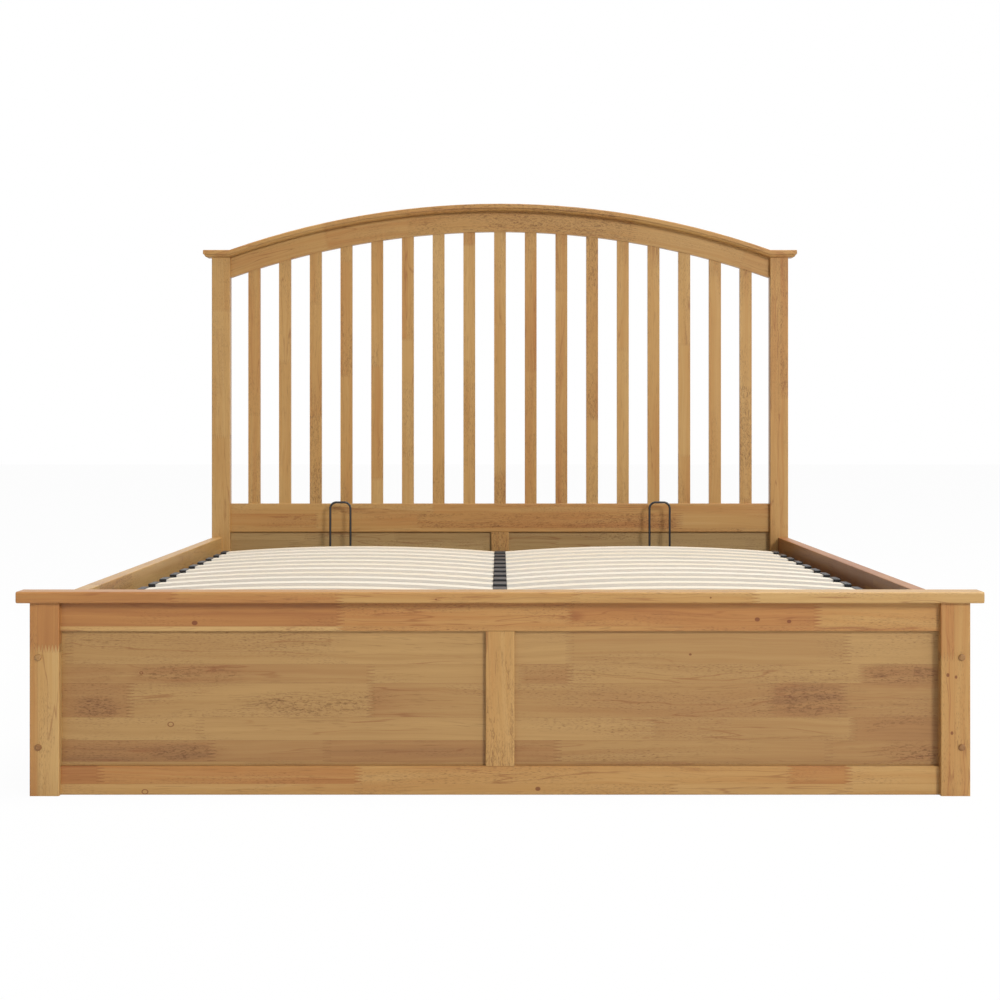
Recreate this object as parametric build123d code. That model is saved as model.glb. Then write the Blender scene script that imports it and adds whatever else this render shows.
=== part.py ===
from build123d import *
from math import atan2, degrees, hypot, sqrt
import os

# Ottoman bed for a 1500 x 2000 mattress.
# Origin: middle of the footprint on the floor. +Y points to the headboard, +X to the right
# for someone who stands at the foot end and looks at the headboard.

# Overall layout, millimetres
platform_width = 1514
platform_gap = 26
rail_thickness = 28
side_length = 2030
post_width = 51
post_depth = 35
foot_post_height = 333
head_post_height = 1116
edge_radius = 2

# Framed ends and sides
rail_height = 50
frame_thickness = 22
frame_setback = 11
panel_thickness = 8
panel_setback = 20
muntin_width = 50
groove_depth = 8
joint_gap = 0.3
tenon_length = 15
tenon_thickness = 10
tenon_shoulder = 8
tenon_gap = 0.2
side_drop = 5
side_panel_setback = 10
side_tongue_inset = 5
side_bays = 3

# Foot cap rail
foot_cap_thickness = 20
foot_cap_front = 10
foot_cap_back = 9
foot_cap_end = 22
foot_cap_radius = 4

# Headboard
head_rail_bottom = 343
head_rail_height = 80
arch_rail_height = 56
crown_rise = 130
cap_fillet_height = 11.5
cap_ovolo_height = 8.8
cap_overhang = 12
cap_end = 23
ovolo_step = 3.2
ovolo_radius = 8.6
cap_edge_radius = 2.5
spindle_count = 17
spindle_width = 33.2
spindle_end_gap = 50
spindle_thickness = 17
housing_depth = 10

# Storage floor
floor_board_thickness = 9
floor_board_count = 5
floor_board_gap = 1
batten_height = 30
batten_thickness = 20
floor_underside = 42
bearer_width = 60
floor_edge_gap = 0.5

# Lift-up platform frame
tube_size = 30
tube_wall = 2
centre_tube_width = 42
platform_underside = 256
platform_foot_gap = 21
platform_head_gap = 10
cap_plate = 3
cap_plug = 12
cross_tube_y = 330
rest_block_length = 40
rest_block_height = 56
rest_pad_thickness = 5
rest_gap = 0.3

# Sprung slats and their holders
slat_rows = 14
slat_width = 53
slat_thickness = 8
slat_first_row = 100
slat_last_row = 132.6
slat_crown = 15.2
slat_end_lift = 3.5
slat_inner_end = 5
slat_end_inset = 5
holder_reach = 15.5
centre_holder_half = 15
holder_side_wall = 4.5
holder_height = 14
holder_radius = 1.5
pocket_gap = 0.3

# Mattress retainers and pull strap
retainer_x = 447
retainer_span = 56.5
retainer_height = 145
retainer_wire = 6
retainer_bend = 17
strap_width = 30
strap_thickness = 2
strap_length = 88
strap_height = 16

# Lift mechanism at rest. Places on the base: distance in front of the head posts, height.
arm_base_pivot = (661, 80)
link_base_pivot = (426, 211)
strut_base_pivot = (355, 71)
lightening_hole = (474, 108)
screw_points = ((594, 92), (538, 82), (490, 158), (426, 165), (400, 78))

# Places on the platform's bracket: distance in front of the head posts, height over its underside
arm_top_pivot = (253, -56)
link_top_pivot = (184, 15)
strut_top_pivot = (173, -38)
bracket_ends = (292, 80)

# Plates, rivets and studs of the mechanism
link_slot_offset = (3.05, 1.28)
base_plate_thickness = 4
bracket_thickness = 4
arm_thickness = 5
layer_gap = 1
arm_radius = 16
link_radius = 15
pivot_diameter = 10
stud_diameter = 8
pivot_clearance = 0.05
open_pivot_clearance = 0.3
countersink_diameter = 16
countersink_depth = 3
countersink_gap = 0.15
bush_diameter = 18
rivet_tail = 3
stud_washer_diameter = 22
stud_washer_reach = 3
slot_travel = 3.3
slot_side_play = 1.1
base_plate_radius = 22
bracket_radius = 18
lightening_radius = 22

# Gas strut, lengths measured along it from its base pivot
strut_inset = 15
cylinder_diameter = 20
cylinder_bore = 16
cylinder_start = 14
cylinder_end = 150
cylinder_floor = 8
cylinder_guide = 6
rod_diameter = 8
rod_start = 70
piston_diameter = 15.6
piston_length = 8
eye_diameter = 20
eye_thickness = 8
eye_neck = 16
rod_eye_play = 1.2
stud_shoulder = 12
stud_head = 14
rod_stud_head = 17
stud_head_thickness = 4

# Fasteners
bolt_inset = 15
bolt_heights = (84, 239)
bolt_diameter = 6
bolt_hole = 7
bolt_head_diameter = 10
bolt_head_height = 6
counterbore_diameter = 10.4
counterbore_depth = 12
bolt_past_nut = 6
barrel_nut_diameter = 10
barrel_nut_length = 16
barrel_nut_set = 35
barrel_nut_gap = 0.1
plug_diameter = 12
plug_height = 3.5
plug_stem_diameter = 10.2
plug_stem_length = 5
plug_dome_radius = 3
screw_diameter = 4
screw_length = 16
screw_head_diameter = 9
screw_head_height = 2.5
screw_gap = 0.1
screw_clearance = 0.2

# Allowances of the modelling itself
overshoot = 1
plane_tolerance = 0.01
edge_tolerance = 0.5

# Places that follow from the sizes above
tube_x = platform_width / 2
rail_inner = tube_x + platform_gap
post_outer = rail_inner + rail_thickness
post_inner = post_outer - post_width
total_length = foot_cap_front + post_depth + side_length + post_depth + cap_overhang
foot_post_front = -total_length / 2 + foot_cap_front
foot_post_back = foot_post_front + post_depth
head_post_front = foot_post_back + side_length
head_post_back = head_post_front + post_depth
side_top = foot_post_height - side_drop
cap_thickness = cap_fillet_height + cap_ovolo_height
crown_top = head_post_height + cap_thickness + crown_rise
arch_radius = (post_inner ** 2 + crown_rise ** 2) / (2 * crown_rise)
panel_clearance_depth = groove_depth - joint_gap
groove_width = panel_thickness + 2 * joint_gap
floor_top = floor_underside + floor_board_thickness
platform_top = platform_underside + tube_size
platform_foot = foot_post_back + platform_foot_gap
platform_head = head_post_front - platform_head_gap
slat_outer_end = tube_x - slat_end_inset
slat_span = platform_head - platform_foot - slat_first_row - slat_last_row - slat_width
slat_pitch = slat_span / (slat_rows - 1)
spindle_run = 2 * (post_inner - spindle_end_gap)
spindle_gap = (spindle_run - spindle_count * spindle_width) / (spindle_count - 1)
bracket_outer = tube_x + bracket_thickness
arm_inner = bracket_outer + layer_gap
arm_outer = arm_inner + arm_thickness
link_inner = arm_outer + layer_gap
link_outer = link_inner + arm_thickness
base_inner = rail_inner - base_plate_thickness
strut_x = tube_x - strut_inset
bolt_x = post_outer - bolt_inset
bolt_reach = barrel_nut_set + bolt_past_nut


def on_base(place):
    """y and z of a point of the mechanism that is fixed to the side of the base."""
    setback, height = place
    return head_post_front - setback, height


def on_bracket(place):
    """y and z of a point of the mechanism that is fixed under the closed platform."""
    setback, height = place
    return head_post_front - setback, platform_underside + height


def block(x0, x1, y0, y1, z0, z1):
    """A box from its six faces."""
    return Pos((x0 + x1) / 2, (y0 + y1) / 2, (z0 + z1) / 2) * Box(x1 - x0, y1 - y0, z1 - z0)


def board(x0, x1, y0, y1, z0, z1, along, radius=edge_radius):
    """A planed board whose long edges are eased."""
    solid = block(x0, x1, y0, y1, z0, z1)
    return fillet(solid.edges().filter_by(along), radius)


def bar_x(diameter, x0, x1, y, z):
    """A round bar along X."""
    return Pos((x0 + x1) / 2, y, z) * Rot(0, 90, 0) * Cylinder(diameter / 2, x1 - x0)


def bar_y(diameter, x, y0, y1, z):
    """A round bar along Y."""
    return Pos(x, (y0 + y1) / 2, z) * Rot(90, 0, 0) * Cylinder(diameter / 2, y1 - y0)


def mirrored(solid):
    """The same piece on the left side."""
    return mirror(solid, about=Plane.YZ)


def both_sides(solids):
    """Right-hand solids followed by their left-hand twins."""
    return list(solids) + [mirrored(s) for s in solids]


def save(name, *solids):
    """Write one sub-part, made of one or more separate solids."""
    shape = solids[0] if len(solids) == 1 else Compound(children=list(solids))
    export_step(shape, "parts/" + name + ".step")


def save_pair(name, *solids):
    """Write a right-hand sub-part and its left-hand twin."""
    save(name + "_right", *solids)
    save(name + "_left", *[mirrored(s) for s in solids])


def arch_z(x):
    """Height of the top of the headboard's arch at x."""
    return crown_top - arch_radius + sqrt(arch_radius ** 2 - x ** 2)


def under_arch(x0, x1, z0, drop, y0, y1):
    """Upright prism from z0 up to the arch lowered by drop."""
    middle = (x0 + x1) / 2
    ends = [Vector(x, y0, arch_z(x) - drop) for x in (x1, middle, x0)]
    outline = [
        Line(Vector(x0, y0, z0), Vector(x1, y0, z0)),
        Line(Vector(x1, y0, z0), ends[0]),
        ThreePointArc(*ends),
        Line(ends[2], Vector(x0, y0, z0)),
    ]
    return extrude(Face(Wire(outline)), y1 - y0, dir=(0, 1, 0))


def rail_tenons(y_centre, z0, z1, gap=0.0):
    """Both end tenons of a cross rail, or with a gap the mortises that take them."""
    half = tenon_thickness / 2 + gap
    low = z0 + tenon_shoulder - gap
    high = z1 - tenon_shoulder + gap
    right = block(post_inner, post_inner + tenon_length + gap, y_centre - half, y_centre + half, low, high)
    return right + mirrored(right)


def cross_rail(y0, y_centre, z0, z1):
    """A rail between two posts, with a tenon at each end."""
    rail = board(-post_inner, post_inner, y0, y0 + frame_thickness, z0, z1, Axis.X)
    return rail + rail_tenons(y_centre, z0, z1)


def panelled_end(post_front, upper_z0, upper_z1):
    """Rails, muntin and panels between two posts: bottom rail, upper rail, muntin, two panels."""
    y0 = post_front + frame_setback
    y_centre = post_front + panel_setback + panel_thickness / 2
    half_groove = groove_width / 2
    half_muntin = muntin_width / 2
    low_groove = block(-post_inner, post_inner, y_centre - half_groove, y_centre + half_groove,
                       rail_height - groove_depth, rail_height)
    high_groove = block(-post_inner, post_inner, y_centre - half_groove, y_centre + half_groove,
                        upper_z0, upper_z0 + groove_depth)
    bottom_rail = cross_rail(y0, y_centre, 0, rail_height) - low_groove
    upper_rail = cross_rail(y0, y_centre, upper_z0, upper_z1) - high_groove
    muntin = board(-half_muntin, half_muntin, y0, y0 + frame_thickness, rail_height, upper_z0, Axis.Z)
    for x0, x1 in ((-half_muntin, -half_muntin + groove_depth), (half_muntin - groove_depth, half_muntin)):
        muntin -= block(x0, x1, y_centre - half_groove, y_centre + half_groove, rail_height, upper_z0)
    stub = half_muntin - groove_depth - joint_gap
    half_panel = panel_thickness / 2
    muntin += block(-stub, stub, y_centre - half_panel, y_centre + half_panel,
                    rail_height - panel_clearance_depth, upper_z0 + panel_clearance_depth)
    panel = block(half_muntin - panel_clearance_depth, post_inner + panel_clearance_depth,
                  y_centre - half_panel, y_centre + half_panel,
                  rail_height - panel_clearance_depth, upper_z0 + panel_clearance_depth)
    return bottom_rail, upper_rail, muntin, [panel, mirrored(panel)]


def post_cuts(post_front, upper_z0, upper_z1):
    """Material taken out of a right-hand post for the panel and the two rails."""
    y_centre = post_front + panel_setback + panel_thickness / 2
    half_groove = groove_width / 2
    groove = block(post_inner, post_inner + groove_depth, y_centre - half_groove, y_centre + half_groove,
                   rail_height - groove_depth, upper_z0 + groove_depth)
    cuts = [groove]
    for z0, z1 in ((0, rail_height), (upper_z0, upper_z1)):
        cuts.append(rail_tenons(y_centre, z0, z1, tenon_gap))
    return cuts


def bolt_cuts(front, back, outward):
    """Clearance holes for the bed bolts through a post, with counterbores on the outward face."""
    outer = front if outward < 0 else back
    inner = outer - outward * counterbore_depth
    cuts = []
    for z in bolt_heights:
        cuts.append(bar_y(bolt_hole, bolt_x, front, back, z))
        cuts.append(bar_y(counterbore_diameter, bolt_x, min(outer, inner), max(outer, inner), z))
    return cuts


def foot_end():
    upper_z0 = foot_post_height - rail_height
    bottom_rail, top_rail, muntin, panels = panelled_end(foot_post_front, upper_z0, foot_post_height)
    save("foot_bottom_rail", bottom_rail)
    save("foot_top_rail", top_rail)
    save("foot_muntin", muntin)
    save("foot_panels", *panels)
    post = board(post_inner, post_outer, foot_post_front, foot_post_back, 0, foot_post_height, Axis.Z)
    for cut in post_cuts(foot_post_front, upper_z0, foot_post_height):
        post -= cut
    for cut in bolt_cuts(foot_post_front, foot_post_back, -1):
        post -= cut
    save_pair("foot_post", post)
    cap = block(-post_outer - foot_cap_end, post_outer + foot_cap_end,
                foot_post_front - foot_cap_front, foot_post_back + foot_cap_back,
                foot_post_height, foot_post_height + foot_cap_thickness)
    cap = fillet(cap.edges().filter_by(Axis.X), foot_cap_radius)
    cap = fillet(cap.edges().filter_by(Axis.Z), edge_radius)
    save("foot_cap_rail", cap)


def head_end():
    upper_z1 = head_rail_bottom + head_rail_height
    y0 = head_post_front + frame_setback
    bottom_rail, lower_rail, muntin, panels = panelled_end(head_post_front, head_rail_bottom, upper_z1)
    y_tenon = head_post_front + panel_setback + panel_thickness / 2
    y_middle = y0 + frame_thickness / 2
    save("head_bottom_rail", bottom_rail)
    save("head_muntin", muntin)
    save("head_panels", *panels)

    arch_underside = cap_thickness + arch_rail_height
    arch_z0 = head_post_height - arch_rail_height
    arch = under_arch(-post_inner, post_inner, arch_z0 - crown_rise, cap_thickness, y0, y0 + frame_thickness)
    arch -= under_arch(-post_inner - overshoot, post_inner + overshoot, arch_z0 - 2 * crown_rise,
                       arch_underside, y0 - overshoot, y0 + frame_thickness + overshoot)
    arch += rail_tenons(y_tenon, arch_z0, head_post_height)
    half_y = spindle_thickness / 2
    spindles = []
    for number in range(spindle_count):
        x = (number - (spindle_count - 1) / 2) * (spindle_width + spindle_gap)
        half_x = spindle_width / 2
        spindles.append(under_arch(x - half_x, x + half_x, upper_z1 - housing_depth + joint_gap,
                                   arch_underside - housing_depth + joint_gap,
                                   y_middle - half_y, y_middle + half_y))
        mortise = under_arch(x - half_x - tenon_gap, x + half_x + tenon_gap, upper_z1 - housing_depth,
                             arch_underside - housing_depth,
                             y_middle - half_y - tenon_gap, y_middle + half_y + tenon_gap)
        arch -= mortise
        lower_rail -= mortise
    save("head_spindles", *spindles)
    save("head_arch_rail", arch)
    save("head_lower_rail", lower_rail)

    post = board(post_inner, post_outer, head_post_front, head_post_back, 0, head_post_height, Axis.Z)
    for cut in post_cuts(head_post_front, head_rail_bottom, upper_z1):
        post -= cut
    post -= rail_tenons(y_tenon, arch_z0, head_post_height, tenon_gap)
    for cut in bolt_cuts(head_post_front, head_post_back, 1):
        post -= cut
    save_pair("head_post", post)
    save("head_cap_moulding", cap_moulding())


def cap_layer(top_drop, height, y0, y1, reach):
    """One layer of the cap: an arched band between the posts and a level ear over each post."""
    band = under_arch(-post_inner, post_inner, head_post_height - crown_rise, top_drop, y0, y1)
    band -= under_arch(-post_inner - overshoot, post_inner + overshoot, head_post_height - 2 * crown_rise,
                       top_drop + height, y0 - overshoot, y1 + overshoot)
    ear_top = head_post_height + cap_thickness - top_drop
    ear = block(post_inner, reach, y0, y1, ear_top - height, ear_top)
    return band + ear + mirrored(ear)


def cap_moulding():
    """A square-edged fillet on top and a rounded ovolo under it that returns round both ends."""
    front = head_post_front - cap_overhang
    back = head_post_back + cap_overhang
    reach = post_outer + cap_end
    top = cap_layer(0, cap_fillet_height, front, back, reach)
    low = cap_layer(cap_fillet_height, cap_ovolo_height, front + ovolo_step, back - ovolo_step,
                    reach - ovolo_step)
    low_edges = [e for e in low.edges()
                 if on_outline(e, front + ovolo_step, back - ovolo_step, reach - ovolo_step, 0)]
    low = fillet(low_edges, ovolo_radius)
    top_edges = [e for e in top.edges() if on_outline(e, front, back, reach, cap_thickness)]
    top = fillet(top_edges, cap_edge_radius)
    return top + low


def lower_line(x):
    """Height of the underside of the cap at x."""
    return arch_z(x) - cap_thickness if abs(x) < post_inner else head_post_height


def on_outline(edge, front, back, reach, height):
    """True for an edge of the cap's outline that runs at this height over its underside."""
    box = edge.bounding_box()
    middle = edge.position_at(0.5)
    along = any(abs(box.min.Y - y) < plane_tolerance and abs(box.max.Y - y) < plane_tolerance
                for y in (front, back))
    across = any(abs(box.min.X - x) < plane_tolerance and abs(box.max.X - x) < plane_tolerance
                 for x in (-reach, reach))
    level = abs(middle.Z - lower_line(middle.X) - height) < edge_tolerance
    return (along or across) and level


def side_frames():
    """Right-hand side: top and bottom rails, four uprights and the panels between them."""
    y0, y1 = foot_post_back, head_post_front
    panel_outer = post_outer - side_panel_setback
    tongue_x0 = rail_inner + side_tongue_inset
    tongue_x1 = tongue_x0 + panel_thickness
    groove_x0, groove_x1 = tongue_x0 - joint_gap, tongue_x1 + joint_gap
    upper = side_top - rail_height
    top_rail = board(rail_inner, post_outer, y0, y1, upper, side_top, Axis.Y)
    top_rail -= block(groove_x0, groove_x1, y0, y1, upper, upper + groove_depth)
    bottom_rail = board(rail_inner, post_outer, y0, y1, 0, rail_height, Axis.Y)
    bottom_rail -= block(groove_x0, groove_x1, y0, y1, rail_height - groove_depth, rail_height)
    save_pair("side_top_rail", top_rail)
    save_pair("side_bottom_rail", bottom_rail)

    bay = (side_length - (side_bays + 1) * muntin_width) / side_bays
    uprights = []
    panels = []
    for number in range(side_bays + 1):
        start = y0 + number * (bay + muntin_width)
        end = start + muntin_width
        upright = board(rail_inner, post_outer, start, end, rail_height, upper, Axis.Z)
        if number > 0:
            upright -= block(groove_x0, groove_x1, start, start + groove_depth, rail_height, upper)
        if number < side_bays:
            upright -= block(groove_x0, groove_x1, end - groove_depth, end, rail_height, upper)
        inset = groove_depth + joint_gap
        upright += block(tongue_x0, tongue_x1, start + inset, end - inset,
                         rail_height - panel_clearance_depth, upper + panel_clearance_depth)
        uprights.append(upright)
        if number < side_bays:
            field = block(rail_inner, panel_outer, end + joint_gap, end + bay - joint_gap,
                          rail_height + joint_gap, upper - joint_gap)
            tongue = block(tongue_x0, tongue_x1,
                           end - panel_clearance_depth, end + bay + panel_clearance_depth,
                           rail_height - panel_clearance_depth, upper + panel_clearance_depth)
            panels.append(field + tongue)
    holes = side_holes(y0, y1)
    save_pair("side_uprights", *[drilled(piece, holes) for piece in uprights])
    save_pair("side_panels", *[drilled(piece, holes) for piece in panels])


def side_holes(y0, y1):
    """Holes in the right-hand side for the bed bolts, their barrel nuts and the base plate screws."""
    holes = []
    for z in bolt_heights:
        for post_face, inward in ((y0, 1), (y1, -1)):
            tip = post_face + inward * bolt_reach
            nut_y = post_face + inward * barrel_nut_set
            holes.append(bar_y(bolt_hole, bolt_x, min(post_face, tip), max(post_face, tip), z))
            holes.append(bar_x(barrel_nut_diameter + 2 * barrel_nut_gap, rail_inner,
                               bolt_x + barrel_nut_length / 2 + joint_gap, nut_y, z))
    for point in screw_points:
        holes.append(bar_x(screw_diameter + 2 * screw_gap, rail_inner, base_inner + screw_length + joint_gap,
                           *on_base(point)))
    return holes


def drilled(piece, holes):
    """The piece without the material of the holes."""
    for hole in holes:
        piece -= hole
    return piece


def storage_floor():
    """Boards laid on battens round the base and on a centre bearer."""
    y0, y1 = foot_post_back + floor_edge_gap, head_post_front - floor_edge_gap
    half_width = rail_inner - floor_edge_gap
    length = (y1 - y0 - (floor_board_count - 1) * floor_board_gap) / floor_board_count
    boards = []
    for number in range(floor_board_count):
        start = y0 + number * (length + floor_board_gap)
        boards.append(block(-half_width, half_width, start, start + length, floor_underside, floor_top))
    save("storage_floor_boards", *boards)

    z0 = floor_underside - batten_height
    side = block(rail_inner - batten_thickness, rail_inner, foot_post_back, head_post_front,
                 z0, floor_underside)
    foot_inner = foot_post_front + frame_setback + frame_thickness
    head_inner = head_post_front + frame_setback
    end_half = post_inner - floor_edge_gap
    foot = block(-end_half, end_half, foot_inner, foot_inner + batten_thickness, z0, floor_underside)
    head = block(-end_half, end_half, head_inner - batten_thickness, head_inner, z0, floor_underside)
    save("floor_battens", side, mirrored(side), foot, head)
    bearer = board(-bearer_width / 2, bearer_width / 2, foot_inner + batten_thickness,
                   head_inner - batten_thickness, 0, floor_underside, Axis.Y)
    save("floor_centre_bearer", bearer)

    pad_top = platform_underside - rest_gap
    block_top = pad_top - rest_pad_thickness
    block_x0 = tube_x - tube_size
    rest = board(block_x0, rail_inner, foot_post_back, foot_post_back + rest_block_length,
                 block_top - rest_block_height, block_top, Axis.X)
    pad = block(block_x0 + edge_radius, tube_x, foot_post_back + edge_radius,
                foot_post_back + rest_block_length - edge_radius, block_top, pad_top)
    save("platform_rest_blocks", *both_sides([rest]))
    save("platform_rest_pads", *both_sides([pad]))


def tube_y(x0, x1, y0, y1):
    """Hollow tube of the platform along Y."""
    outer = board(x0, x1, y0, y1, platform_underside, platform_top, Axis.Y)
    return outer - block(x0 + tube_wall, x1 - tube_wall, y0, y1,
                         platform_underside + tube_wall, platform_top - tube_wall)


def tube_across(x0, x1, y0, y1):
    """Hollow tube of the platform along X."""
    outer = board(x0, x1, y0, y1, platform_underside, platform_top, Axis.X)
    return outer - block(x0, x1, y0 + tube_wall, y1 - tube_wall,
                         platform_underside + tube_wall, platform_top - tube_wall)


def platform_frame():
    inner = tube_x - tube_size
    half_centre = centre_tube_width / 2
    side = tube_y(inner, tube_x, platform_foot + cap_plate, platform_head - cap_plate)
    save("frame_side_tubes", *both_sides([side]))
    foot = tube_across(-inner, inner, platform_foot, platform_foot + tube_size)
    head = tube_across(-inner, inner, platform_head - tube_size, platform_head)
    centre = tube_y(-half_centre, half_centre, platform_foot + tube_size, platform_head - tube_size)
    save("frame_foot_tube", foot)
    save("frame_head_tube", head)
    save("frame_centre_tube", centre)
    cross = []
    for y in (-cross_tube_y, cross_tube_y):
        cross.append(tube_across(half_centre, inner, y - tube_size / 2, y + tube_size / 2))
    save("frame_cross_tubes", *both_sides(cross))

    plug_inset = tube_wall + tenon_gap
    caps = []
    for y, inward in ((platform_foot, 1), (platform_head, -1)):
        seat = y + inward * cap_plate
        tip = seat + inward * cap_plug
        plate = board(inner, tube_x, min(y, seat), max(y, seat), platform_underside, platform_top, Axis.Y)
        plug = block(inner + plug_inset, tube_x - plug_inset, min(seat, tip), max(seat, tip),
                     platform_underside + plug_inset, platform_top - plug_inset)
        caps.append(plate + plug)
    save("tube_end_caps", *both_sides(caps))


def slat_z(x):
    """Height of a slat's top face at x, on the right-hand side."""
    middle = (slat_inner_end + slat_outer_end) / 2
    half = (slat_outer_end - slat_inner_end) / 2
    radius = (half ** 2 + slat_crown ** 2) / (2 * slat_crown)
    end_top = platform_top + slat_end_lift + slat_thickness
    return end_top + slat_crown - radius + sqrt(radius ** 2 - (x - middle) ** 2)


def slat_band(x0, x1, y0, grow=0.0):
    """A bowed slat from x0 to x1, or with grow the pocket that takes it."""
    y_start = y0 - grow
    depth = slat_width + 2 * grow
    middle = (x0 + x1) / 2
    top = [Vector(x, y_start, slat_z(x) + grow) for x in (x0, middle, x1)]
    low = [Vector(x, y_start, slat_z(x) - slat_thickness - grow) for x in (x1, middle, x0)]
    outline = [ThreePointArc(*top), Line(top[2], low[0]), ThreePointArc(*low), Line(low[2], top[0])]
    return extrude(Face(Wire(outline)), depth, dir=(0, 1, 0))


def holder_body(x0, x1, y0):
    """The rounded plastic body of a slat holder before its pocket is cut."""
    body = block(x0, x1, y0 - holder_side_wall, y0 + slat_width + holder_side_wall,
                 platform_top, platform_top + holder_height)
    upper = body.edges().filter_by(Axis.Z) + body.faces().sort_by(Axis.Z)[-1].edges()
    return fillet(upper, holder_radius)


def slats_and_holders():
    slats = []
    side_holders = []
    centre_holders = []
    for row in range(slat_rows):
        y0 = platform_foot + slat_first_row + row * slat_pitch
        slats.append(slat_band(slat_inner_end, slat_outer_end, y0))
        holder = holder_body(tube_x - holder_reach, tube_x, y0)
        side_holders.append(holder - slat_band(tube_x - holder_reach - overshoot,
                                               slat_outer_end + pocket_gap, y0, pocket_gap))
        pocket = slat_band(slat_inner_end - pocket_gap, centre_holder_half + overshoot, y0, pocket_gap)
        double = holder_body(-centre_holder_half, centre_holder_half, y0)
        centre_holders.append(double - pocket - mirrored(pocket))
    save_pair("slats", *slats)
    save_pair("slat_holders", *side_holders)
    save("slat_holders_centre", *centre_holders)


def retainers_and_strap():
    y = platform_head - tube_size / 2
    half = retainer_span / 2
    top = platform_top + retainer_height - retainer_wire / 2
    corners = [(retainer_x - half, y, platform_top), (retainer_x - half, y, top),
               (retainer_x + half, y, top), (retainer_x + half, y, platform_top)]
    path = FilletPolyline(*corners, radius=retainer_bend)
    wire = sweep(Plane(corners[0], z_dir=(0, 0, 1)) * Circle(retainer_wire / 2), path=path)
    save("mattress_retainers", *both_sides([wire]))

    z0 = platform_top + joint_gap
    y0 = platform_foot + cap_plate
    middle = Pos(0, y0 + strap_length / 2, z0 + strap_height / 2)
    outer = SlotOverall(strap_length, strap_height)
    hole = SlotOverall(strap_length - 2 * strap_thickness, strap_height - 2 * strap_thickness)
    loop = extrude(Plane.YZ * (outer - hole), strap_width / 2, both=True)
    save("pull_strap", middle * loop)


def plate_hull(x0, thickness, circles):
    """A flat plate in the plane of the mechanism whose outline wraps a set of circles."""
    edges = []
    for y, z, radius in circles:
        edges += (Pos(y, z) * Circle(radius)).edges()
    return extrude(Plane.YZ.offset(x0) * make_hull(edges), thickness)


def countersunk(x_face, inward, y, z, gap=0.0):
    """A conical head, or with a gap its seat, that lies flush with the face at x_face."""
    top = countersink_diameter / 2 + gap
    tip = pivot_diameter / 2 + gap
    cone = Cone(tip, top, countersink_depth)
    turn = Rot(0, -90 * inward, 0)
    return Pos(x_face + inward * countersink_depth / 2, y, z) * turn * cone


def mechanism():
    """Right-hand lift mechanism: base plate, arm, link, bracket and their pivots."""
    arm_y, arm_z = on_base(arm_base_pivot)
    top_y, top_z = on_bracket(arm_top_pivot)
    link_y, link_z = on_base(link_base_pivot)
    end_y, end_z = on_bracket(link_top_pivot)
    base_y, base_z = on_base(strut_base_pivot)
    rod_y, rod_z = on_bracket(strut_top_pivot)
    hole = pivot_diameter + 2 * pivot_clearance
    stud_hole = stud_diameter + 2 * pivot_clearance

    plate = plate_hull(base_inner, base_plate_thickness,
                       [(arm_y, arm_z, base_plate_radius), (link_y, link_z, base_plate_radius),
                        (base_y, base_z, arm_radius)])
    plate -= bar_x(hole, base_inner, rail_inner, arm_y, arm_z)
    plate -= bar_x(hole, base_inner, rail_inner, link_y, link_z)
    plate -= bar_x(stud_hole, base_inner, rail_inner, base_y, base_z)
    plate -= bar_x(2 * lightening_radius, base_inner, rail_inner, *on_base(lightening_hole))
    for point in screw_points:
        plate -= bar_x(screw_diameter + 2 * screw_clearance, base_inner, rail_inner, *on_base(point))
    save_pair("mechanism_base_plate", plate)

    arm = plate_hull(arm_inner, arm_thickness, [(arm_y, arm_z, arm_radius), (top_y, top_z, arm_radius)])
    arm -= bar_x(hole, arm_inner, arm_outer, arm_y, arm_z)
    arm -= bar_x(pivot_diameter + 2 * open_pivot_clearance, arm_inner, arm_outer, top_y, top_z)
    arm -= countersunk(arm_inner, 1, arm_y, arm_z, countersink_gap)
    arm -= countersunk(arm_outer, -1, top_y, top_z, open_pivot_clearance)
    save_pair("mechanism_front_arm", arm)

    slot_y = end_y + link_slot_offset[0]
    slot_z = end_z + link_slot_offset[1]
    link = plate_hull(link_inner, arm_thickness,
                      [(link_y, link_z, link_radius), (slot_y, slot_z, link_radius)])
    link -= bar_x(hole, link_inner, link_outer, link_y, link_z)
    link -= countersunk(link_inner, 1, link_y, link_z, countersink_gap)
    span = hypot(slot_y - link_y, slot_z - link_z)
    step_y = (slot_y - link_y) / span * (slot_travel + open_pivot_clearance - slot_side_play)
    step_z = (slot_z - link_z) / span * (slot_travel + open_pivot_clearance - slot_side_play)
    slot_radius = stud_diameter / 2 + slot_side_play
    link -= plate_hull(link_inner, arm_thickness,
                       [(slot_y - step_y, slot_z - step_z, slot_radius),
                        (slot_y + step_y, slot_z + step_z, slot_radius)])
    save_pair("mechanism_rear_link", link)

    tube_z = platform_underside + tube_size / 2
    bracket = plate_hull(tube_x, bracket_thickness,
                         [(top_y, top_z, bracket_radius), (rod_y, rod_z, bracket_radius)]
                         + [(head_post_front - end, tube_z, tube_size / 2 - edge_radius)
                            for end in bracket_ends])
    bracket -= bar_x(hole, tube_x, bracket_outer, top_y, top_z)
    bracket -= bar_x(stud_hole, tube_x, bracket_outer, end_y, end_z)
    bracket -= bar_x(stud_hole, tube_x, bracket_outer, rod_y, rod_z)
    save_pair("platform_bracket", bracket)
    base_pivots(arm_y, arm_z, link_y, link_z, base_y, base_z)
    bracket_pivots(top_y, top_z, end_y, end_z, rod_y, rod_z)


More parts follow.
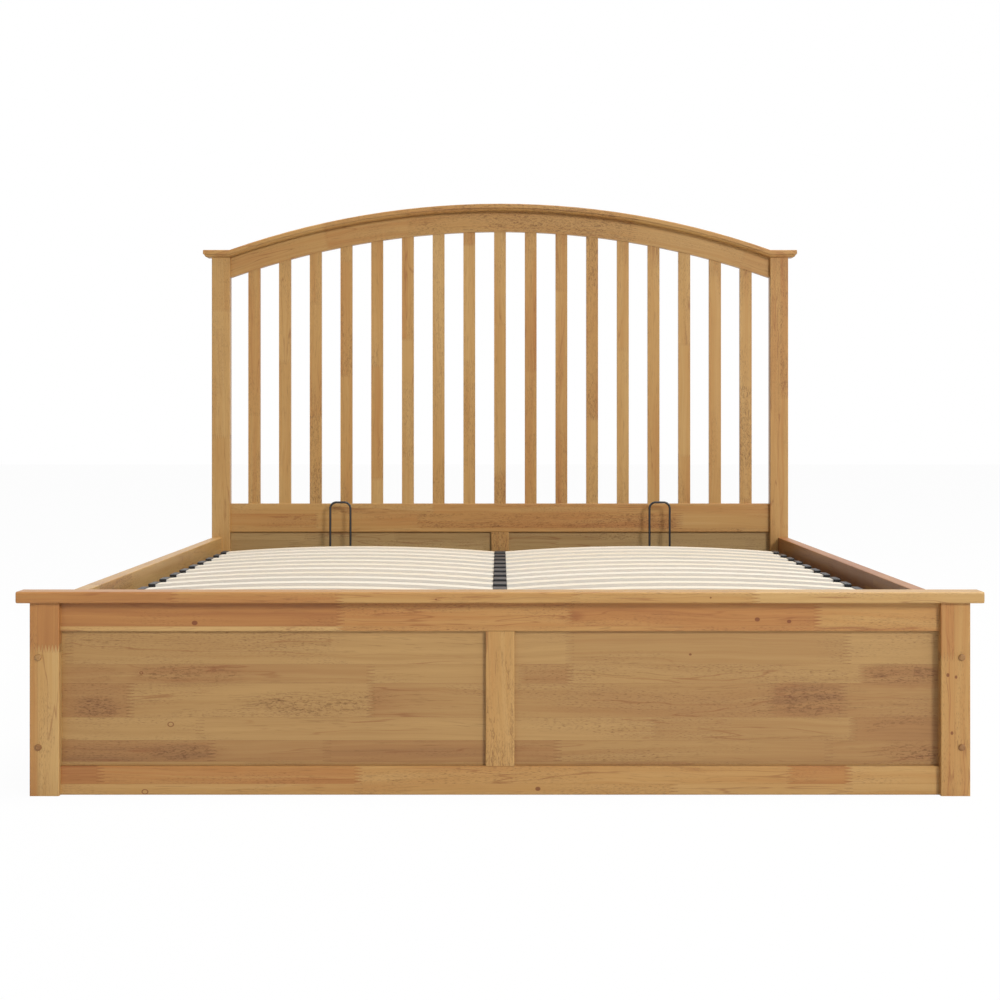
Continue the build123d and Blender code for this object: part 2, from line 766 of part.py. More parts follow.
def base_pivots(arm_y, arm_z, link_y, link_z, base_y, base_z):
    """Rivets of the arm and link and the strut's lower stud, all fixed in the base plate."""
    arm_pin = bar_x(pivot_diameter, arm_inner, rail_inner, arm_y, arm_z)
    arm_pin += bar_x(bush_diameter, arm_outer + joint_gap, base_inner, arm_y, arm_z)
    arm_pin += countersunk(arm_inner, 1, arm_y, arm_z)
    link_pin = bar_x(pivot_diameter, link_inner, rail_inner, link_y, link_z)
    link_pin += bar_x(bush_diameter, link_outer + joint_gap, base_inner, link_y, link_z)
    link_pin += countersunk(link_inner, 1, link_y, link_z)
    half_eye = eye_thickness / 2 + joint_gap
    stud = bar_x(stud_diameter, strut_x - half_eye, rail_inner, base_y, base_z)
    stud += bar_x(stud_shoulder, strut_x + half_eye, base_inner, base_y, base_z)
    stud += bar_x(stud_head, strut_x - half_eye - stud_head_thickness, strut_x - half_eye, base_y, base_z)
    save("mechanism_base_pivots", *both_sides([arm_pin, link_pin, stud]))


def bracket_pivots(top_y, top_z, end_y, end_z, rod_y, rod_z):
    """Rivet of the arm, stud of the link and the strut's upper stud, all fixed in the bracket."""
    arm_pin = bar_x(pivot_diameter, tube_x, arm_outer, top_y, top_z)
    arm_pin += bar_x(bush_diameter, tube_x - rivet_tail, tube_x, top_y, top_z)
    arm_pin += countersunk(arm_outer, -1, top_y, top_z)
    link_stud = bar_x(stud_diameter, tube_x, link_outer + joint_gap, end_y, end_z)
    link_stud += bar_x(bush_diameter, bracket_outer, link_inner - joint_gap, end_y, end_z)
    link_stud += bar_x(stud_washer_diameter, link_outer + joint_gap, link_outer + stud_washer_reach,
                       end_y, end_z)
    half_eye = eye_thickness / 2 + joint_gap
    rod_stud = bar_x(stud_diameter, strut_x - half_eye, bracket_outer, rod_y, rod_z)
    rod_stud += bar_x(stud_shoulder, strut_x + half_eye, tube_x, rod_y, rod_z)
    rod_stud += bar_x(rod_stud_head, strut_x - half_eye - stud_head_thickness, strut_x - half_eye,
                      rod_y, rod_z)
    save("platform_bracket_pivots", *both_sides([arm_pin, link_stud, rod_stud]))


def gas_strut():
    """Right-hand gas strut, built along Y from its base pivot and then turned into place."""
    base_y, base_z = on_base(strut_base_pivot)
    rod_y, rod_z = on_bracket(strut_top_pivot)
    closed_length = hypot(rod_y - base_y, rod_z - base_z)
    place = Pos(strut_x, base_y, base_z) * Rot(degrees(atan2(rod_z - base_z, rod_y - base_y)), 0, 0)
    half_eye = eye_thickness / 2
    neck = eye_neck / 2

    body = bar_y(cylinder_diameter, 0, cylinder_start, cylinder_end, 0)
    body -= bar_y(cylinder_bore, 0, cylinder_start + cylinder_floor, cylinder_end - cylinder_guide, 0)
    body -= bar_y(rod_diameter + 2 * pivot_clearance, 0, cylinder_end - cylinder_guide, cylinder_end, 0)
    body += block(-half_eye, half_eye, 0, cylinder_start, -neck, neck)
    body += bar_x(eye_diameter, -half_eye, half_eye, 0, 0)
    body -= bar_x(stud_diameter + 2 * pivot_clearance, -half_eye, half_eye, 0, 0)
    save_pair("gas_strut_cylinder", place * body)

    neck_start = closed_length - eye_neck
    rod = bar_y(rod_diameter, 0, rod_start, neck_start, 0)
    rod += bar_y(piston_diameter, 0, rod_start, rod_start + piston_length, 0)
    rod += block(-half_eye, half_eye, neck_start, closed_length, -neck, neck)
    rod += bar_x(eye_diameter, -half_eye, half_eye, closed_length, 0)
    rod -= bar_x(stud_diameter + 2 * rod_eye_play, -half_eye, half_eye, closed_length, 0)
    save_pair("gas_strut_rod", place * rod)


def fasteners():
    """Bed bolts with their barrel nuts and cover plugs, and the base plate screws."""
    plugs = []
    bolts = []
    nuts = []
    for face, outward in ((foot_post_front, -1), (head_post_back, 1)):
        seat = face - outward * counterbore_depth
        head = seat + outward * bolt_head_height
        inner_face = face - outward * post_depth
        tip = inner_face - outward * (bolt_reach - joint_gap)
        for z in bolt_heights:
            bolt = bar_y(bolt_diameter, bolt_x, min(head, tip), max(head, tip), z)
            bolt += bar_y(bolt_head_diameter, bolt_x, min(head, seat), max(head, seat), z)
            bolts.append(bolt)
            nut_y = inner_face - outward * barrel_nut_set
            nut = bar_x(barrel_nut_diameter, bolt_x - barrel_nut_length / 2, bolt_x + barrel_nut_length / 2,
                        nut_y, z)
            nuts.append(nut - bar_y(bolt_diameter + 2 * barrel_nut_gap, bolt_x, nut_y - barrel_nut_diameter,
                                    nut_y + barrel_nut_diameter, z))
            top = face + outward * plug_height
            dome = bar_y(plug_diameter, bolt_x, min(face, top), max(face, top), z)
            rim = dome.edges().filter_by(GeomType.CIRCLE).sort_by(Axis.Y)[0 if outward < 0 else -1]
            dome = fillet(rim, plug_dome_radius)
            stem = face - outward * plug_stem_length
            plugs.append(dome + bar_y(plug_stem_diameter, bolt_x, min(face, stem), max(face, stem), z))
    save("bolt_cover_plugs", *both_sides(plugs))
    save("bed_bolts", *both_sides(bolts))
    save("barrel_nuts", *both_sides(nuts))

    screws = []
    for point in screw_points:
        y, z = on_base(point)
        screw = bar_x(screw_diameter, base_inner, base_inner + screw_length, y, z)
        screws.append(screw + bar_x(screw_head_diameter, base_inner - screw_head_height, base_inner, y, z))
    save("base_plate_screws", *both_sides(screws))


os.makedirs("parts", exist_ok=True)
foot_end()
head_end()
side_frames()
storage_floor()
platform_frame()
slats_and_holders()
retainers_and_strap()
mechanism()
gas_strut()
fasteners()
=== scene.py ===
import bpy
import math
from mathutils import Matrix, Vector


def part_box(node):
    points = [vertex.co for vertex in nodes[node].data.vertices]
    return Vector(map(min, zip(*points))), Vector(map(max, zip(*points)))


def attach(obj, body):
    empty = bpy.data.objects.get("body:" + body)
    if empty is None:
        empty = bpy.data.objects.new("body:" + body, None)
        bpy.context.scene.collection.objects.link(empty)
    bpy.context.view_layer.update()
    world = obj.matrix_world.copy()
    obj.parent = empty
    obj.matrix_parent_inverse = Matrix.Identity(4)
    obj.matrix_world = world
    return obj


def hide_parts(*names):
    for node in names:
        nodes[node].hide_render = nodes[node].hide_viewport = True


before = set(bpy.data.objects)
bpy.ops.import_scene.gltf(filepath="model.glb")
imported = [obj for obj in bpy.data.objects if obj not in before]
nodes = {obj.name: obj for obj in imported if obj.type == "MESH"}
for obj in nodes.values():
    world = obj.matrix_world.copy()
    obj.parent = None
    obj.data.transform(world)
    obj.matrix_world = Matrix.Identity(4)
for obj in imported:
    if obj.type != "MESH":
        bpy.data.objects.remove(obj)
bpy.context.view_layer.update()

# Camera, metres and millimetres of film
camera_place = (0.0, -4.316, 0.632)
camera_lens = 68.2
camera_shift = -0.0705

# Light
key_place = (7.0, -11.8, 6.7)
key_size = 4.2
key_power = 1245.0
top_place = (2.5, -0.3, 9.0)
top_size = 4.0
top_power = 640.0
fill_place = (-4.5, -6.0, 3.0)
fill_size = 3.5
fill_power = 8.0
light_aim = (0.0, -0.3, 0.35)
ambient_level = 0.27
floor_glow = 0.97
floor_half = 30.0
floor_drop = 0.0005
floor_grey = 0.82

# Sizes of the bed that its grain follows
arch_rise = 0.130
arch_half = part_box("head_post_right")[0].x
arch_radius = (arch_half ** 2 + arch_rise ** 2) / (2 * arch_rise)
arch_centre_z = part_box("head_cap_moulding")[1].z - arch_radius
slat_radius = 4.5995
slat_middle_x = 0.3785
slat_crown_top = 0.3127
slat_row_start = -0.9345
slat_rows_per_metre = 7.587
ply_thickness = 0.0011

# Finger joints and glue seams
finger_pitch = 0.0058
finger_length = 0.015
comb_line = 0.0007
joint_reach = 0.0085
joint_edge = 0.0012
seam_line = 0.0007

# Lamellas laid at random: start of the rows, steps through the wood, and how unevenly joints follow
row_offset = 0.37
boards_per_metre = 3.0
phase_blocks = 7.0
uneven_rate = 2.3
uneven_row_step = 3.1
uneven_blocks = 0.35
figured_from = 0.80
figured_to = 0.92

# Grain of the lacquered wood: waves per metre along it and across it
warp_waves = (2.6, 8.0)
ring_waves = (1.3, 95.0)
fibre_waves = (12.0, 900.0)
pore_waves = (130.0, 1000.0)
patch_waves = (4.0, 20.0)
cloud_waves = (2.2, 7.0)
vein_waves = (1.7, 24.0)
burr_waves = (95.0, 330.0)
dash_waves = (24.0, 430.0)
spot_waves = (7.0, 15.0)
warp_reach = 0.040
block_shift = 5.0
tone_shift = 4.7
knot_stretch = 0.8

# How far each part of the grain moves the tone, and how much it darkens or reddens the wood
ring_tone = 0.95
cloud_tone = 0.60
figure_tone = 0.12
halo_tone = 0.30
fibre_dark = 0.36
fleck_dark = 0.40
dash_dark = 0.30
mottle_dark = 0.46
comb_dark = 0.42
seam_dark = 0.16
lightest = -0.2
streak_share = 0.42
knot_share = 0.75

# Webbing of the pull strap, metres, and its ribs and yarns per metre
strap_thickness = 0.0018
selvedge = 0.0006
arc_steps = 16
straight_steps = 8
rib_rate = 420.0
yarn_rate = 700.0
fuzz_rate = 1500.0

# Wood tones from pale to dark, as they look in plain light; the head panel tones are made lighter as painted
# light, and the slat side colour is painted light too
frame_tones = ((190, 153, 98), (181, 139, 82), (171, 119, 66), (150, 97, 54))
panel_tones = ((176, 140, 88), (166, 129, 79), (155, 113, 68), (134, 97, 60))
# The head panel tones are the foot panel tones made lighter: painted light for the lower lamp light at the
# head end.
head_panel_tones_painted_light = ((181, 150, 101), (172, 141, 93), (160, 127, 80), (143, 110, 71))
plug_tones = ((168, 128, 78), (156, 116, 70), (146, 104, 60), (134, 92, 52))
pine_tones = ((226, 196, 150), (218, 186, 138), (206, 170, 120), (190, 150, 100))
board_tones = ((206, 178, 138), (198, 168, 126), (188, 156, 114), (176, 142, 100))
slat_tones = ((234, 228, 216), (231, 222, 205), (227, 215, 192), (217, 199, 169))
# The slat side colour is near white: painted light that lifts the shade on the slats' side faces.
slat_side_painted_light = (250, 246, 237)
slat_ply_brown = (176, 140, 92)
slat_fibre_brown = (150, 116, 72)
fleck_brown = (86, 46, 22)
knot_red = (104, 46, 24)
streak_red = (122, 62, 32)

# Lamellas of the foot end, metres. Each row has its two edges across the grain, its first tone, and
# then the place of each finger joint along the grain with the tone that follows it.
cap_blocks = (
    (-2.0, 2.0, 0.66, ((-0.559, 0.60), (-0.276, 0.34), (0.13, 0.26), (0.44, 0.06))),
)
# The top rail's tones are the lamellas' own, set darker overall as painted shade from the cap above it.
top_rail_blocks_with_painted_shade = (
    (0.200, 0.2915, 0.10, ((-0.276, 0.44), (0.31, 0.56), (0.55, 0.38))),
    (0.2915, 0.400, 0.84, ((-0.276, 0.50), (0.12, 0.62), (0.55, 0.42))),
)
bottom_rail_blocks = (
    (-0.100, 0.019, 0.22, ((-0.245, 0.32), (0.30, 0.20), (0.603, 0.28))),
    (0.019, 0.100, 0.80, ((-0.691, 0.60), (-0.245, 0.34), (0.502, 0.74), (0.603, 0.36))),
)
panel_blocks = (
    (-0.100, 0.056, 0.10, ((-0.43, 0.50), (0.33, 0.44))),
    (0.056, 0.093, 0.66, ((-0.50, 0.50), (-0.30, 0.62), (0.10, 0.40), (0.57, 0.50))),
    (0.093, 0.133, 0.16, ((-0.52, 0.22), (0.27, 0.34), (0.612, 0.66))),
    (0.133, 0.192, 0.66, ((-0.641, 0.26), (-0.224, 0.44), (0.472, 0.62), (0.595, 0.50))),
    (0.192, 0.225, 0.46, ((-0.224, 0.30), (0.04, 0.70), (0.121, 0.26), (0.628, 0.64))),
    (0.225, 0.400, 0.24, ((-0.747, 0.20), (0.121, 0.34), (0.602, 0.20))),
)
left_leg_blocks = (
    (-0.900, -0.797, 0.52, ((0.255, 0.70),)),
    (-0.797, -0.700, 0.10, ((0.255, 0.64),)),
)
right_leg_blocks = (
    (0.700, 0.783, 0.42, ((0.24, 0.56),)),
    (0.783, 0.900, 0.34, ((0.09, 0.44),)),
)

# Mottled figure of the foot panels: middle along and across, half length and half height, metres
panel_figure = (
    (-0.535, 0.208, 0.100, 0.020), (-0.710, 0.208, 0.050, 0.018), (-0.310, 0.160, 0.120, 0.028),
    (0.535, 0.162, 0.070, 0.030), (0.700, 0.208, 0.075, 0.020), (0.710, 0.113, 0.090, 0.022),
    (0.720, 0.074, 0.080, 0.016), (-0.540, 0.072, 0.070, 0.014), (-0.700, 0.150, 0.040, 0.022),
)

# Knots of the foot end: along and across the grain, radius, and the pale share of the radius
panel_knots = ((-0.571, 0.1207, 0.0050, 0.72), (-0.622, 0.2100, 0.0030, 0.60), (0.330, 0.2420, 0.0022, 0.0))
bottom_rail_knots = ((-0.614, 0.0055, 0.0052, 0.72), (0.0655, 0.0107, 0.0040, 0.0))
top_rail_knots = ((-0.528, 0.2975, 0.0045, 0.0), (0.445, 0.3035, 0.0040, 0.0), (0.500, 0.3000, 0.0034, 0.0))
cap_knots = ((0.362, 0.3430, 0.0016, 0.0), (-0.110, 0.3400, 0.0014, 0.0))
right_leg_knots = ((0.2087, 0.772, 0.0030, 0.0), (0.2053, 0.786, 0.0026, 0.0), (0.1087, 0.779, 0.0028, 0.0))


def linear(colour):
    """An 8-bit colour as the light values that the shader takes."""
    parts = []
    for value in colour:
        share = value / 255
        parts.append(share / 12.92 if share <= 0.04045 else ((share + 0.055) / 1.055) ** 2.4)
    return (*parts, 1.0)


class Shade:
    """A material and short calls that add nodes to it. Each argument is a number or a socket."""

    def __init__(self, name):
        self.material = bpy.data.materials.new(name)
        self.material.use_nodes = True
        self.tree = self.material.node_tree
        self.surface = self.tree.nodes["Principled BSDF"]

    def node(self, kind, inputs=(), **settings):
        made = self.tree.nodes.new(kind)
        for key, value in settings.items():
            setattr(made, key, value)
        for key, value in dict(inputs).items():
            self.feed(made.inputs[key], value)
        return made

    def feed(self, socket, value):
        if isinstance(value, bpy.types.NodeSocket):
            self.tree.links.new(value, socket)
        else:
            socket.default_value = value

    def calc(self, operation, *values):
        return self.node("ShaderNodeMath", enumerate(values), operation=operation).outputs[0]

    def add(self, a, b):
        return self.calc("ADD", a, b)

    def take(self, a, b):
        return self.calc("SUBTRACT", a, b)

    def times(self, a, b):
        return self.calc("MULTIPLY", a, b)

    def ramp(self, value, low, high, smooth=True):
        """0 below low and 1 above high, or the other way round where low is the larger."""
        kind = "SMOOTHSTEP" if smooth else "LINEAR"
        made = self.node("ShaderNodeMapRange", {"Value": value}, interpolation_type=kind)
        if low < high:
            limits = (low, high, 0.0, 1.0)
        else:
            limits = (high, low, 1.0, 0.0)
        for key, limit in zip(("From Min", "From Max", "To Min", "To Max"), limits):
            made.inputs[key].default_value = limit
        return made.outputs["Result"]

    def vector(self, x, y, z):
        return self.node("ShaderNodeCombineXYZ", {"X": x, "Y": y, "Z": z}).outputs[0]

    def stretch(self, along, across, through, waves):
        """Point for a noise with waves[0] waves per metre along the grain and waves[1] across it."""
        return self.vector(self.times(along, waves[0]), self.times(across, waves[1]),
                           self.times(through, waves[1]))

    def place(self):
        """x, y and z of the point in the frame of the bed, at rest."""
        point = self.node("ShaderNodeTexCoord").outputs["Object"]
        split = self.node("ShaderNodeSeparateXYZ", {0: point})
        return split.outputs["X"], split.outputs["Y"], split.outputs["Z"]

    def noise(self, point, detail=2.0, roughness=0.5, distortion=0.0):
        inputs = {"Vector": point, "Scale": 1.0, "Detail": detail, "Roughness": roughness,
                  "Distortion": distortion}
        return self.node("ShaderNodeTexNoise", inputs).outputs[0]

    def band(self, value, low, high, soft):
        """1 between low and high, with soft edges."""
        return self.times(self.ramp(value, low - soft, low + soft),
                          self.ramp(value, high + soft, high - soft))

    def spots(self, point):
        """Distance to the nearest of a set of scattered points, and a random number for that point."""
        made = self.node("ShaderNodeTexVoronoi", {"Vector": point, "Scale": 1.0})
        split = self.node("ShaderNodeSeparateColor", {0: made.outputs["Color"]})
        return made.outputs["Distance"], split.outputs[0]

    def chance(self, point):
        """Three random numbers that stay the same at the same point."""
        colour = self.node("ShaderNodeTexWhiteNoise", {"Vector": point}).outputs["Color"]
        split = self.node("ShaderNodeSeparateColor", {0: colour})
        return split.outputs[0], split.outputs[1], split.outputs[2]

    def mix(self, factor, a, b):
        """a where factor is 0 and b where it is 1, for colours."""
        made = self.node("ShaderNodeMix", data_type="RGBA")
        self.feed(made.inputs[0], factor)
        self.feed(made.inputs[6], a)
        self.feed(made.inputs[7], b)
        return made.outputs[2]

    def mix_value(self, factor, a, b):
        """a where factor is 0 and b where it is 1, for plain numbers."""
        made = self.node("ShaderNodeMix", data_type="FLOAT")
        for number, value in zip((0, 2, 3), (factor, a, b)):
            self.feed(made.inputs[number], value)
        return made.outputs[0]

    def tones(self, value, colours):
        """Colour at value, from the first of the colours at 0 to the last at 1."""
        made = self.node("ShaderNodeValToRGB", {0: value})
        stops = made.color_ramp.elements
        for number, colour in enumerate(colours):
            spot = number / (len(colours) - 1)
            stop = stops[number] if number < 2 else stops.new(spot)
            stop.position = spot
            stop.color = linear(colour)
        return made.outputs["Color"]

    def finish(self, colour, rough, height, relief, **sockets):
        """Colour, roughness and relief, with other shader values set on their own sockets."""
        bump = self.node("ShaderNodeBump", {"Height": height, "Strength": 1.0, "Distance": relief})
        self.feed(self.surface.inputs["Base Color"], colour)
        self.feed(self.surface.inputs["Roughness"], rough)
        self.feed(self.surface.inputs["Normal"], bump.outputs[0])
        for key, value in sockets.items():
            self.surface.inputs[key.replace("_", " ")].default_value = value
        return self.material


def follow_arch(s):
    """Grain of the curved pieces: along the arch, outwards from it, and through its thickness."""
    x, y, z = s.place()
    up = s.take(z, arch_centre_z)
    along = s.times(s.calc("ARCTAN2", x, up), arch_radius)
    out = s.take(s.calc("SQRT", s.add(s.times(x, x), s.times(up, up))), arch_radius)
    return along, out, y


def follow_axis(order):
    """Grain of a straight piece, as the axes that run along, across and through it."""
    def route(s):
        axes = dict(zip("xyz", s.place()))
        return [axes[letter] for letter in order]
    return route


def random_blocks(s, along, across, through, zig, strip, block):
    """Finger-jointed lamellas: tone, figure and grain shift of each block, and where its joints are."""
    row = s.calc("FLOOR", s.add(s.calc("DIVIDE", across, strip), row_offset))
    board = s.calc("FLOOR", s.times(through, boards_per_metre))
    phase = s.chance(s.vector(row, board, 0.5))[0]
    straight = s.add(s.calc("DIVIDE", along, block), s.times(phase, phase_blocks))
    sway = s.calc("SINE", s.add(s.times(straight, uneven_rate), s.times(row, uneven_row_step)))
    straight = s.add(straight, s.times(sway, uneven_blocks))
    number = s.calc("FLOOR", s.add(straight, s.calc("DIVIDE", zig, block)))
    tone, figure, shift = s.chance(s.vector(number, row, board))
    away = s.times(s.calc("PINGPONG", straight, 0.5), block)
    near = s.ramp(away, joint_reach, joint_reach * 0.8)
    return tone, s.ramp(figure, figured_from, figured_to), shift, near, 0.0


def laid_blocks(s, along, across, zig, rows, figures):
    """The same for lamellas listed one by one, with a line at each glue seam."""
    tone = near = seam = figure = 0.0
    jagged = s.add(along, zig)
    for low, high, level, joints in rows:
        inside = s.band(across, low, high, joint_edge / 2)
        for place, after in joints:
            passed = s.ramp(jagged, place - joint_edge, place + joint_edge)
            level = s.mix_value(passed, level, after)
            away = s.calc("ABSOLUTE", s.take(along, place))
            near = s.add(near, s.times(inside, s.ramp(away, joint_reach, joint_reach * 0.8)))
        tone = s.add(tone, s.times(inside, level))
        seam = s.add(seam, s.ramp(s.calc("ABSOLUTE", s.take(across, low)), seam_line, 0.0))
    for middle, height, half_length, half_height in figures:
        a = s.calc("DIVIDE", s.take(along, middle), half_length)
        b = s.calc("DIVIDE", s.take(across, height), half_height)
        away = s.calc("SQRT", s.add(s.times(a, a), s.times(b, b)))
        figure = s.calc("MAXIMUM", figure, s.ramp(away, 1.25, 0.55))
    return tone, figure, s.times(tone, tone_shift), near, seam


def placed_knots(s, along, across, knots):
    """Small dark knots at given places. One with a pale share shows as a ring."""
    dark = 0.0
    for middle, height, radius, pale in knots:
        a = s.times(s.take(along, middle), knot_stretch)
        b = s.take(across, height)
        away = s.calc("DIVIDE", s.calc("SQRT", s.add(s.times(a, a), s.times(b, b))), radius)
        spot = s.ramp(away, 1.05, 0.75)
        if pale:
            spot = s.times(spot, s.ramp(away, pale - 0.2, pale))
        dark = s.calc("MAXIMUM", dark, spot)
    return dark


def wood(name, grain, tones, strip=0.045, block=0.42, spread=0.6, base=0.0, depth=1.0, rough=0.44,
         rows=(), figures=(), knots=()):
    """Lacquered finger-jointed hardwood whose grain runs the way that grain() gives."""
    s = Shade(name)
    along, across, through = grain(s)
    half = finger_pitch / 2
    tooth = s.calc("PINGPONG", across, half)
    zig = s.times(s.take(s.calc("DIVIDE", tooth, half), 0.5), finger_length)
    if rows:
        tone, figure, shift, near, seam = laid_blocks(s, along, across, zig, rows, figures)
    else:
        tone, figure, shift, near, seam = random_blocks(s, along, across, through, zig, strip, block)
        tone = s.add(s.times(tone, spread), base)
    comb = s.times(s.ramp(tooth, comb_line, 0.0), near)

    slide = s.times(shift, block_shift)
    run = s.add(along, slide)
    side = s.add(across, slide)
    warp = s.take(s.noise(s.stretch(run, side, through, warp_waves), 3.0), 0.5)
    bent = s.add(side, s.times(warp, warp_reach))

    rings = s.noise(s.stretch(run, bent, through, ring_waves), 4.0, 0.62)
    fibre = s.noise(s.stretch(run, side, through, fibre_waves), 2.0)
    pore = s.noise(s.stretch(run, bent, through, pore_waves), 1.0)
    patch = s.noise(s.stretch(run, bent, through, patch_waves), 2.0)
    cloud = s.noise(s.stretch(run, side, through, cloud_waves), 2.0)
    vein = s.noise(s.stretch(run, bent, through, vein_waves), 3.0, 0.55)
    burr = s.noise(s.stretch(run, bent, through, burr_waves), 3.0, 0.65, 1.0)
    dash = s.noise(s.stretch(run, bent, through, dash_waves), 2.0, 0.6)
    away, kind = s.spots(s.stretch(run, bent, through, spot_waves))

    flecks = s.times(s.ramp(pore, 0.54, 0.66), s.ramp(patch, 0.44, 0.62))
    streak = s.times(s.ramp(s.calc("ABSOLUTE", s.take(vein, 0.5)), 0.012, 0.0), s.ramp(cloud, 0.44, 0.58))
    dashes = s.times(s.ramp(dash, 0.55, 0.72), s.ramp(vein, 0.56, 0.42))
    mottle = s.times(s.ramp(burr, 0.49, 0.60), s.times(figure, s.ramp(patch, 0.30, 0.52)))
    present = s.ramp(kind, 0.86, 0.88)
    halo = s.times(s.ramp(away, 0.17, 0.03), present)
    pip = s.times(s.ramp(away, 0.032, 0.016), present)
    if knots:
        pip = s.calc("MAXIMUM", pip, placed_knots(s, along, across, knots))

    level = s.add(tone, s.times(s.take(rings, 0.5), ring_tone * depth))
    level = s.add(level, s.times(s.take(cloud, 0.5), cloud_tone * depth))
    level = s.add(level, s.times(figure, figure_tone * depth))
    level = s.add(level, s.times(halo, halo_tone * depth))
    colour = s.tones(level, tones)

    dark = s.times(s.take(fibre, 0.5), fibre_dark * depth)
    dark = s.add(dark, s.times(flecks, fleck_dark * depth))
    dark = s.add(dark, s.times(dashes, dash_dark * depth))
    dark = s.add(dark, s.times(mottle, mottle_dark * depth))
    dark = s.add(dark, s.add(s.times(comb, comb_dark), s.times(seam, seam_dark)))
    dark = s.calc("MAXIMUM", dark, lightest)
    colour = s.mix(dark, colour, linear(fleck_brown))
    colour = s.mix(s.times(streak, streak_share * depth), colour, linear(streak_red))
    colour = s.mix(s.times(pip, knot_share * depth), colour, linear(knot_red))

    gloss = s.add(rough, s.times(s.take(fibre, 0.5), 0.10))
    height = s.take(s.times(fibre, 0.4), s.add(flecks, s.add(comb, s.times(seam, 0.6))))
    return s.finish(colour, gloss, height, 0.00012, Coat_Weight=0.06, Coat_Roughness=0.30,
                    Specular_IOR_Level=0.34)


def slat_wood():
    """Pale veneered slat: long faint grain on top, the plies on its edges, and its side faces painted near
    white as painted light against their shade.
    """
    s = Shade("slat_birch")
    x, y, z = s.place()
    middle = s.take(s.calc("ABSOLUTE", x), slat_middle_x)
    drop = s.take(slat_radius, s.calc("SQRT", s.take(slat_radius ** 2, s.times(middle, middle))))
    depth = s.take(s.take(slat_crown_top, drop), z)
    row = s.calc("FLOOR", s.times(s.take(y, slat_row_start), slat_rows_per_metre))
    tone = s.chance(s.vector(row, s.calc("SIGN", x), 0.3))[0]
    figure = s.noise(s.vector(s.times(x, 2.2), s.times(y, 60.0), s.times(z, 20.0)), 3.0, 0.6)
    fibre = s.noise(s.vector(s.times(x, 22.0), s.times(y, 900.0), s.times(z, 300.0)), 2.0)
    vein = s.noise(s.vector(s.times(x, 1.3), s.times(y, 30.0), s.times(z, 10.0)), 1.0)
    line = s.ramp(s.calc("ABSOLUTE", s.take(vein, 0.5)), 0.016, 0.0)
    level = s.add(s.times(tone, 0.35), s.add(s.times(figure, 0.5), s.times(line, 0.25)))
    face = s.tones(level, slat_tones)
    ply = s.calc("PINGPONG", s.calc("DIVIDE", depth, ply_thickness), 1.0)
    normal = s.node("ShaderNodeSeparateXYZ", {0: s.node("ShaderNodeTexCoord").outputs["Normal"]})
    edge = s.ramp(s.calc("ABSOLUTE", normal.outputs["Z"]), 0.6, 0.4)
    layers = s.times(s.ramp(ply, 0.35, 0.65), edge)
    # Painted light: the side faces of the slats are mixed to a near-white colour that lifts their shade.
    colour = s.mix(edge, face, linear(slat_side_painted_light))
    colour = s.mix(s.times(layers, 0.14), colour, linear(slat_ply_brown))
    colour = s.mix(s.times(s.take(fibre, 0.5), 0.12), colour, linear(slat_fibre_brown))
    return s.finish(colour, s.add(0.46, s.times(fibre, 0.1)), fibre, 0.00006)


def speckled(name, colour, rough, pitch, relief, spread=0.3, **sockets):
    """Powder coat, moulded plastic or rubber: one colour with a fine raised texture."""
    s = Shade(name)
    x, y, z = s.place()
    grit = s.noise(s.stretch(x, y, z, (1 / pitch, 1 / pitch)), 2.0)
    cloud = s.noise(s.stretch(x, y, z, (9.0, 9.0)), 2.0)
    lighter = tuple(min(255, value * (1 + spread) + 6) for value in colour)
    shade = s.mix(s.add(s.times(grit, 0.5), s.times(cloud, 0.5)), linear(colour), linear(lighter))
    return s.finish(shade, s.add(rough, s.times(s.take(cloud, 0.5), 0.12)), grit, relief, **sockets)


def drawn_metal(name, colour, rough, across):
    """Plated or ground steel with fine lines from the tool."""
    s = Shade(name)
    axes = dict(zip("xyz", s.place()))
    scaled = [s.times(axes[letter], 2600.0 if letter in across else 40.0) for letter in "xyz"]
    lines = s.noise(s.vector(*scaled), 2.0)
    cloud = s.noise(s.vector(*[s.times(axes[letter], 60.0) for letter in "xyz"]), 2.0)
    lighter = tuple(min(255, value * 1.12) for value in colour)
    shade = s.mix(cloud, linear(colour), linear(lighter))
    return s.finish(shade, s.add(rough, s.times(lines, 0.12)), lines, 0.00002, Metallic=1.0)


def paint(material, *names):
    """Put a material on CAD nodes."""
    for name in names:
        mesh = nodes[name].data
        mesh.materials.clear()
        mesh.materials.append(material)


def pairs(*names):
    """Left and right node of each name."""
    return [name + side for name in names for side in ("_left", "_right")]


